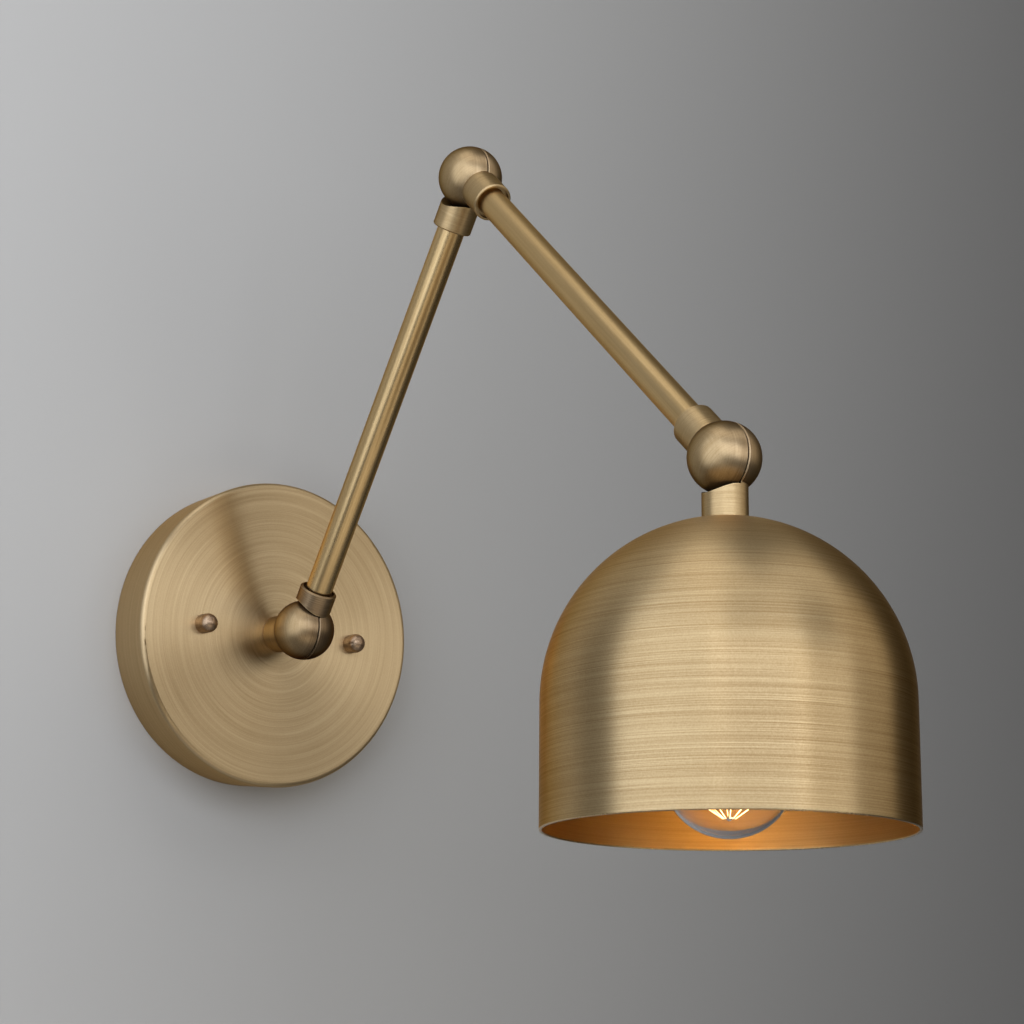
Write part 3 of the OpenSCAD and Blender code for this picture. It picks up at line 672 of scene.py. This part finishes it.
# The rim's lighter brass is partly wear and partly a painted highlight along the lip.
rim_wear_and_highlight = satin_metal("rim_wear_and_highlight", light=TUBE_LIGHT, dark=BRASS_LIGHT, rough=0.25, grain_size=0.4 * MM)
shade.data.materials.append(inside_brass_painted_glow)
shade.data.materials.append(rim_wear_and_highlight)
dome_middle = shade_frame @ Vector((0, 0, DOME_CENTRE))
painted = {OUTSIDE: 0, INSIDE: 0, RIM: 0}
for face in shade.data.polygons:
    from_middle = face.center - dome_middle
    level = from_middle.dot(down_shade)
    outwards = from_middle - down_shade * max(level, 0)
    if DOME_CENTRE + level > RIM_DROP - RIM_ROUNDING:
        face.material_index = RIM
    elif face.normal.dot(outwards) < 0:
        face.material_index = INSIDE
    painted[face.material_index] += 1
print("faces outside, inside and on the rim:", list(painted.values()))

# %% [markdown]
# A thread is one groove that climbs round a rod. The groove's outline for one turn, from crest to root and
# back, is spun round the axis while it also moves along it by the pitch, as on a lathe that cuts a thread.
# A groove modelled as a stack of rings would look the same from afar, but no nut could run on it. The spun
# ribbon starts and ends outside the rod's length, so two cuts square to the axis trim it, and each end is
# then filled.

# %% Helpers for screw threads
THREAD_STEPS = 32
THREAD_DEPTH = 0.55
THREAD_MERGE_REACH = 0.005 * MM


def cut_end(bm, height, outwards, bore):
    """Trims a thread square at one height, and fills the cut up to the bore."""
    cut = bmesh.ops.bisect_plane(
        bm, geom=bm.verts[:] + bm.edges[:] + bm.faces[:], plane_co=(0, 0, height),
        plane_no=(0, 0, outwards), clear_outer=True, dist=MERGE_REACH)["geom_cut"]
    rim = [edge for edge in cut if isinstance(edge, bmesh.types.BMEdge)]
    if bore:
        inner = bmesh.ops.create_circle(
            bm, segments=2 * THREAD_STEPS, radius=bore, matrix=Matrix.Translation((0, 0, height)))
        rim += list({edge for vertex in inner["verts"] for edge in vertex.link_edges})
    bmesh.ops.triangle_fill(bm, edges=rim, use_beauty=True, normal=(0, 0, outwards))


def threaded_rod(radius, pitch, length, bore=0.0):
    """A rod or tube along Z with a right-hand thread all the way, as a bmesh."""
    bm = bmesh.new()
    vertex = start_point(bm, radius, -pitch)
    vertex = line_to(bm, vertex, radius - THREAD_DEPTH * pitch, -pitch / 2)
    line_to(bm, vertex, radius, 0)
    turns = math.ceil(length / pitch) + 2
    bmesh.ops.spin(
        bm, geom=bm.verts[:] + bm.edges[:], cent=(0, 0, 0), axis=(0, 0, 1), angle=math.tau * turns,
        steps=THREAD_STEPS * turns, dvec=(0, 0, pitch / THREAD_STEPS))
    bmesh.ops.remove_doubles(bm, verts=bm.verts, dist=THREAD_MERGE_REACH)
    for height, outwards in ((0, -1), (length, 1)):
        cut_end(bm, height, outwards, bore)
    if bore:
        bmesh.ops.bridge_loops(bm, edges=[edge for edge in bm.edges if edge.is_boundary])
    bmesh.ops.recalc_face_normals(bm, faces=bm.faces)
    print(turns - 2, "turns of thread, open edges:", sum(edge.is_boundary for edge in bm.edges))
    return bm


# %% [markdown]
# Two nipples, short threaded tubes that the wires run through, hold the lamp together. One screws the
# first swivel to the strap behind the canopy, and the other holds the last swivel, the shade and the
# lampholder. Each takes its length from the CAD node that it replaces, so it can't end short of its nuts.

# %% The threaded nipples
NIPPLE_RADIUS = 5 * MM
NIPPLE_BORE = 3.5 * MM
NIPPLE_PITCH = 0.94 * MM
SEAT_DEPTH = 13.7 * MM

low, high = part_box("canopy_nipple")
bm = threaded_rod(NIPPLE_RADIUS, NIPPLE_PITCH, high.y - low.y, NIPPLE_BORE)
piece = finished("threaded_canopy_nipple", bm, own_frame(Vector((0, high.y, 0)), OUT_OF_WALL),
                 "canopy_side", zinc)
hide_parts("canopy_nipple")

low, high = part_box("shade_nipple")
nipple_length = (high.z - low.z - 2 * NIPPLE_RADIUS * math.sin(SHADE_LEAN)) / math.cos(SHADE_LEAN)
bm = threaded_rod(NIPPLE_RADIUS, NIPPLE_PITCH, nipple_length, NIPPLE_BORE)
piece = finished("threaded_shade_nipple", bm, own_frame(hanger + down_shade * SEAT_DEPTH, down_shade),
                 "shade_side", zinc)
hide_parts("shade_nipple")

# %% [markdown]
# Two studs stand on the level strap and reach through the canopy, where the cap nuts draw it against the
# wall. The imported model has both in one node, so both are one piece here too: one stud is threaded, and a
# copy of it is moved across by the spacing, which keeps the two alike.

# %% The threaded studs
STUD_RADIUS = 2.1 * MM
STUD_PITCH = 0.79 * MM
STUD_SPACING = 72.5 * MM

low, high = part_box("canopy_studs")
bm = threaded_rod(STUD_RADIUS, STUD_PITCH, high.y - low.y)
twin = bmesh.ops.duplicate(bm, geom=bm.verts[:] + bm.edges[:] + bm.faces[:])["geom"]
twin_vertices = [part for part in twin if isinstance(part, bmesh.types.BMVert)]
bmesh.ops.translate(bm, vec=(STUD_SPACING, 0, 0), verts=twin_vertices)
piece = finished("threaded_studs", bm, own_frame(Vector((-STUD_SPACING / 2, high.y, 0)), OUT_OF_WALL),
                 "canopy_side", zinc)
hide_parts("canopy_studs")

# %% [markdown]
# Clear glass shows the shade's warm inside through the bulb, and a grey edge where one looks along its
# wall. The Principled shader's transmission bends light as glass does. It would also throw a full shadow,
# because a shadow ray is straight and can't follow the bend, so shadow rays alone meet a plain transparent
# shader and pass. A blown wall is never quite even, so a faint haze and a slow ripple break up its
# reflections.

# %% Clear glass
REFRACTION = 1.47
MOST_HAZE = 0.035
RIPPLE_DEPTH = 0.3 * MM


def clear_glass(name, tint):
    """Clear glass that lets the lamps' light through, so that the wire inside lights what is around it."""
    material, tree, shader = new_material(name)
    shader.inputs["Base Color"].default_value = (*tint, 1)
    shader.inputs["Transmission Weight"].default_value = 1.0
    shader.inputs["IOR"].default_value = REFRACTION
    place = place_on_piece(tree)
    haze = noise_node(tree, place, scale=90.0, detail=3.0)
    ripple = noise_node(tree, place, scale=55.0, detail=1.0)
    tree.links.new(spread(tree, haze, 0.45, 0.7, 0.0, MOST_HAZE), shader.inputs["Roughness"])
    raise_surface(tree, shader, ripple, strength=0.15, depth=RIPPLE_DEPTH)
    clear = add(tree, "BsdfTransparent", {"Color": (*tint, 1)}).outputs[0]
    shadow = add(tree, "LightPath").outputs["Is Shadow Ray"]
    mix = add(tree, "MixShader", {0: shadow, 1: shader.outputs[0], 2: clear})
    tree.links.new(mix.outputs[0], tree.nodes["Material Output"].inputs["Surface"])
    return material


glass = clear_glass("clear_glass", (0.985, 0.98, 1.0))
print("glass has", len(glass.node_tree.nodes), "nodes")

# %% [markdown]
# The bulb is blown: a straight neck that is sealed into the screw cap, a hollow throat and a round globe.
# One vertex is spun through both arcs of the profile, and the profile is spun to a closed skin with a thin
# wall. Clear glass needs that wall, because a single skin would bend the light as a solid ball of glass
# does.

# %% The blown globe
GLASS_WALL = 0.95 * MM
GLOBE_RADIUS = 22.5 * MM
GLOBE_DROP = 103.5 * MM
NECK_RADIUS = 12.6 * MM
NECK_START = 71 * MM
THROAT_ROUNDING = 8 * MM
THROAT_STEPS = 16
GLOBE_STEPS = 56

bm = bmesh.new()
throat_radius = NECK_RADIUS + THROAT_ROUNDING
throat_rise = math.sqrt((GLOBE_RADIUS + THROAT_ROUNDING) ** 2 - throat_radius ** 2)
throat_turn = math.degrees(math.atan2(throat_rise, throat_radius))
vertex = start_point(bm, NECK_RADIUS, NECK_START)
vertex = line_to(bm, vertex, NECK_RADIUS, GLOBE_DROP - throat_rise)
vertex = arc_to(bm, vertex, throat_radius, GLOBE_DROP - throat_rise, throat_turn, THROAT_STEPS)
vertex = arc_to(bm, vertex, 0, GLOBE_DROP, -(90 + throat_turn), GLOBE_STEPS)
print("the globe closes at", [round(c / MM, 3) for c in vertex.co])
globe = turned_piece("blown_globe", bm, glass, sheet=GLASS_WALL)
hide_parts("bulb_glass")
print("globe is", [round(c / MM, 1) for c in globe.dimensions], "mm")

# %% [markdown]
# The stem is a glass tube, flared where it is sealed into the neck and melted shut round the wires at its
# other end. It is turned as the globe was, but solid, with the end drawn in to a rounded tip.

# %% The glass stem
STEM_RADIUS = 2.4 * MM
STEM_TOP = GLOBE_DROP - 6 * MM
SEAL_GAP = 0.2 * MM
STEM_FLARE = ((2.4 * MM, 3.4 * MM), (0.5 * MM, 6 * MM), (0, 8 * MM))
STEM_TIP_STEPS = 10

bm = bmesh.new()
vertex = start_point(bm, 0, NECK_START + SEAL_GAP)
vertex = line_to(bm, vertex, NECK_RADIUS - GLASS_WALL - SEAL_GAP, NECK_START + SEAL_GAP)
for flare, drop in STEM_FLARE:
    vertex = line_to(bm, vertex, STEM_RADIUS + flare, NECK_START + drop)
vertex = line_to(bm, vertex, STEM_RADIUS, STEM_TOP)
vertex = arc_to(bm, vertex, 0, STEM_TOP, -90, STEM_TIP_STEPS)
stem = turned_piece("glass_stem", bm, glass)
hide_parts("bulb_stem")

# %% [markdown]
# The filament is one fine wire that runs up and down between two rings of hooks, as in old carbon lamps. A
# curve with a round bevel is the plain way to draw a wire: its points follow the cage, and the bevel gives
# its thickness. Each strand swells from the upper hooks to a belly and draws in to the foot, along a sine
# and then a cosine, so that it bends evenly.

# %% The filament's route
STRANDS = 10
STRAND_STEPS = 18
CAGE_TOP = Vector((6 * MM, STEM_TOP - 2 * MM))
CAGE_BELLY = Vector((8 * MM, GLOBE_DROP + 12 * MM))
CAGE_FOOT = Vector((2.2 * MM, GLOBE_DROP + 16 * MM))
BELLY_SHARE = 0.6
QUARTER_TURN = math.tau / 4


def cage_point(strand, along):
    """A place on a strand, from 0 at the upper hooks to 1 at the foot, in the shade's own frame."""
    if along < BELLY_SHARE:
        swell = math.sin(QUARTER_TURN * along / BELLY_SHARE)
        bend = CAGE_TOP + (CAGE_BELLY - CAGE_TOP) * swell
    else:
        swell = math.cos(QUARTER_TURN * (along - BELLY_SHARE) / (1 - BELLY_SHARE))
        bend = CAGE_FOOT + (CAGE_BELLY - CAGE_FOOT) * swell
    turn = math.tau * (strand + 0.5) / STRANDS
    return Vector((bend.x * math.cos(turn), bend.x * math.sin(turn), bend.y))


route = []
for strand in range(STRANDS):
    steps = [step / STRAND_STEPS for step in range(STRAND_STEPS + 1)]
    route += [cage_point(strand, along if strand % 2 == 0 else 1 - along) for along in steps]
print("the filament has", len(route), "points")

# %% [markdown]
# The wire glows by itself, yellow-white where it is hottest and redder where it is cooler. A real one
# cools by its hooks, and a slow noise along it is the simplest way to vary its heat.

# %% The glowing wire
WIRE_RADIUS = 0.13 * MM
GLOW = 5.0

glow, tree, shader = new_material("glowing_wire")
shader.inputs["Base Color"].default_value = (0.9, 0.6, 0.3, 1)
shader.inputs["Roughness"].default_value = 0.6
flicker = noise_node(tree, place_on_piece(tree), scale=260.0, detail=2.0)
heat = mixed(tree, spread(tree, flicker, 0.35, 0.6, 0.0, 1.0), (1.0, 0.5, 0.14), (1.0, 0.74, 0.36))
tree.links.new(heat, shader.inputs["Emission Color"])
shader.inputs["Emission Strength"].default_value = GLOW

wire = bpy.data.curves.new("filament_wire", "CURVE")
wire.dimensions = "3D"
wire.bevel_depth = WIRE_RADIUS
wire.bevel_resolution = 2
spline = wire.splines.new("POLY")
spline.points.add(len(route) - 1)
for point, place in zip(spline.points, route):
    point.co = (*(shade_frame @ place), 1)
spline.use_cyclic_u = True
wire.materials.append(glow)
filament = bpy.data.objects.new("filament_wire", wire)
bpy.context.scene.collection.objects.link(filament)
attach(filament, "shade_side")
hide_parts("bulb_filament")
print("filament is", round(spline.calc_length() / MM), "mm long")

# %% [markdown]
# The lamp hangs on a plain wall over a pale floor. The light of a wide softbox falls off slowly along a
# wall, so the paint itself is darker toward both sides, which is how the photograph's wall looks. The
# paint is clear from behind, so that the lamp can be looked at from every side.

# %% Paint of the wall and floor
FADE_TO_RIGHT = {"From Min": -0.36, "From Max": 0.65}
FADE_TO_LEFT = {"From Min": -0.16, "From Max": -0.42}
LEFT_SHARE = 0.85


def one_sided(name, left, right):
    """A matt paint that shows only from its front, and that darkens on both sides of the canopy."""
    material, tree, shader = new_material(name)
    across = add(tree, "SeparateXYZ", {0: place_on_piece(tree)}).outputs["X"]
    to_right, to_left = (
        add(tree, "MapRange", {"Value": across, **reach}, interpolation_type="SMOOTHSTEP").outputs["Result"]
        for reach in (FADE_TO_RIGHT, FADE_TO_LEFT)
    )
    fade = math_node(tree, "ADD", to_right, math_node(tree, "MULTIPLY", to_left, LEFT_SHARE))
    tree.links.new(mixed(tree, fade, left, right), shader.inputs["Base Color"])
    shader.inputs["Roughness"].default_value = 0.9
    clear = add(tree, "BsdfTransparent").outputs[0]
    from_behind = add(tree, "NewGeometry").outputs["Backfacing"]
    mix = add(tree, "MixShader", {0: from_behind, 1: shader.outputs[0], 2: clear})
    tree.links.new(mix.outputs[0], tree.nodes["Material Output"].inputs["Surface"])
    return material


wall_paint = one_sided("wall_paint", (0.575, 0.565, 0.548), (0.136, 0.135, 0.133))
floor_paint = one_sided("floor_paint", (0.6, 0.6, 0.6), (0.5, 0.5, 0.5))
print(len(bpy.data.materials), "materials in all")

# %% [markdown]
# The wall has a hole behind the canopy, where the junction box sits, so that the lamp's hidden back can be
# seen from behind. A wall with a hole is a ring: the edge of a circle is extruded and the new edge is
# scaled out to the wall's reach. That needs no cutting, where a plane would. The floor is a grid of one
# face.

# %% Wall and floor
WALL_REACH = 3.0
WALL_HOLE = 0.058
WALL_GAP = 0.2 * MM
FLOOR_DROP = 1.1


def stage_piece(name, bm, material):
    """Makes a mesh that is part of the studio, not of the lamp."""
    mesh = bpy.data.meshes.new(name)
    bm.to_mesh(mesh)
    bm.free()
    mesh.materials.append(material)
    piece = bpy.data.objects.new(name, mesh)
    bpy.context.scene.collection.objects.link(piece)
    print(name, "has", len(mesh.polygons), "faces")


bm = bmesh.new()
bmesh.ops.create_circle(bm, cap_ends=False, radius=WALL_HOLE, segments=96)
ring = bmesh.ops.extrude_edge_only(bm, edges=bm.edges[:])["geom"]
outer = [v for v in ring if isinstance(v, bmesh.types.BMVert)]
bmesh.ops.scale(bm, vec=Vector((1, 1, 1)) * WALL_REACH / WALL_HOLE, verts=outer)
bmesh.ops.rotate(bm, matrix=Matrix.Rotation(math.radians(90), 3, "X"), verts=bm.verts)
bmesh.ops.translate(bm, vec=(0, WALL_GAP, 0), verts=bm.verts)
for face in bm.faces:
    if face.normal.y > 0:
        face.normal_flip()
stage_piece("wall", bm, wall_paint)

bm = bmesh.new()
bmesh.ops.create_grid(bm, x_segments=1, y_segments=1, size=WALL_REACH)
bmesh.ops.translate(bm, vec=(0, -WALL_REACH, -FLOOR_DROP), verts=bm.verts)
stage_piece("floor", bm, floor_paint)

# %% [markdown]
# Metal has no look of its own but what it mirrors, so the studio is built for its reflections. The lights
# are wide panels, because a wide light makes a wide soft band on metal where a small one makes a spark.
# A light's power is worked out from its size, so that a panel keeps its brightness when it is made wider.
# Round the panels, the world is a dim warm grey.

# %% World, and helpers for soft lights
WORLD_LIGHT = 0.055
WORLD_COLOUR = (1, 0.88, 0.7, 1)
LAMP_AIM = Vector((0, -0.17, 0.03))

world = bpy.data.worlds.new("studio")
world.use_nodes = True
world.node_tree.nodes["Background"].inputs["Color"].default_value = WORLD_COLOUR
world.node_tree.nodes["Background"].inputs["Strength"].default_value = WORLD_LIGHT
bpy.context.scene.world = world


def panel(name, place, facing, width, height, level, colour=(1, 1, 1)):
    """A rectangular soft light that stands at a place and faces one way; a level of 1 looks white."""
    data = bpy.data.lights.new(name, "AREA")
    data.shape = "RECTANGLE"
    data.size = width
    data.size_y = height
    data.energy = level * math.pi * width * height
    data.color = colour
    light = bpy.data.objects.new(name, data)
    light.location = place
    light.rotation_euler = (-Vector(facing)).to_track_quat("Z", "Y").to_euler()
    bpy.context.scene.collection.objects.link(light)
    print(name, "gives", round(data.energy, 2), "W")


def softbox(name, azimuth, elevation, distance, width, height, level, colour=(1, 1, 1)):
    """A panel in some direction from the lamp, in degrees, that faces the lamp."""
    a = math.radians(azimuth)
    e = math.radians(elevation)
    away = Vector((math.sin(a) * math.cos(e), -math.cos(a) * math.cos(e), math.sin(e)))
    panel(name, LAMP_AIM + away * distance, -away, width, height, level, colour)


# %% [markdown]
# A tall window light on the left lights the wall from that side. A front and a right softbox make the wide
# pale bands on the shade, and the dark gap between them and the window light makes its brown left side.
# Weaker panels fill the right side, the undersides and the tops, and one behind the wall shows the lamp's
# back to a camera that stands there.

# %% The studio's lights
COOL = (0.92, 0.98, 1.08)

panel("window_light", (-0.78, -0.54, 0.30), facing=(1, 0, -0.05), width=1.04, height=1.4, level=1.6,
      colour=COOL)
softbox("front_light", -20, 15, distance=1.35, width=1.2, height=0.95, level=2.1, colour=COOL)
softbox("right_light", 17, 8, distance=1.5, width=0.9, height=0.8, level=1.45)
softbox("far_right_light", 52, 20, distance=1.6, width=0.95, height=1.3, level=0.6, colour=(1, 0.92, 0.8))
softbox("low_light", -4, -44, distance=1.2, width=1.6, height=0.5, level=0.8, colour=(1, 0.9, 0.74))
panel("top_light", (-0.32, -0.32, 1.05), facing=(0.3, -0.05, -0.9), width=1.1, height=0.6, level=1.4)
softbox("high_light", 26, 56, distance=1.3, width=1.3, height=0.6, level=1.05)
panel("back_light", (0.3, 1.1, 0.5), facing=(-0.25, -1, -0.42), width=0.9, height=0.7, level=2.0)

# %% [markdown]
# The bulb is lit. The wire's own glow is too small a light to shine well on the shade, so a small warm
# lamp stands in the middle of the globe, and rides on the shade so that it swings with it. Only rays that
# are aimed at it find it, or it would show in the glass as a bright ball.

# %% The bulb's light
BULB_COLOUR = (1.0, 0.54, 0.12)
BULB_WATTS = 0.031
BULB_LIGHT_RADIUS = 14 * MM
BULB_LIGHT_DROP = GLOBE_DROP + 6 * MM

data = bpy.data.lights.new("bulb_light", "POINT")
data.energy = BULB_WATTS
data.color = BULB_COLOUR
data.shadow_soft_size = BULB_LIGHT_RADIUS
data.cycles.use_multiple_importance_sampling = False
bulb_light = bpy.data.objects.new("bulb_light", data)
bulb_light.location = shade_frame @ Vector((0, 0, BULB_LIGHT_DROP))
bpy.context.scene.collection.objects.link(bulb_light)
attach(bulb_light, "shade_side")
print("the bulb's light gives", BULB_WATTS, "W")
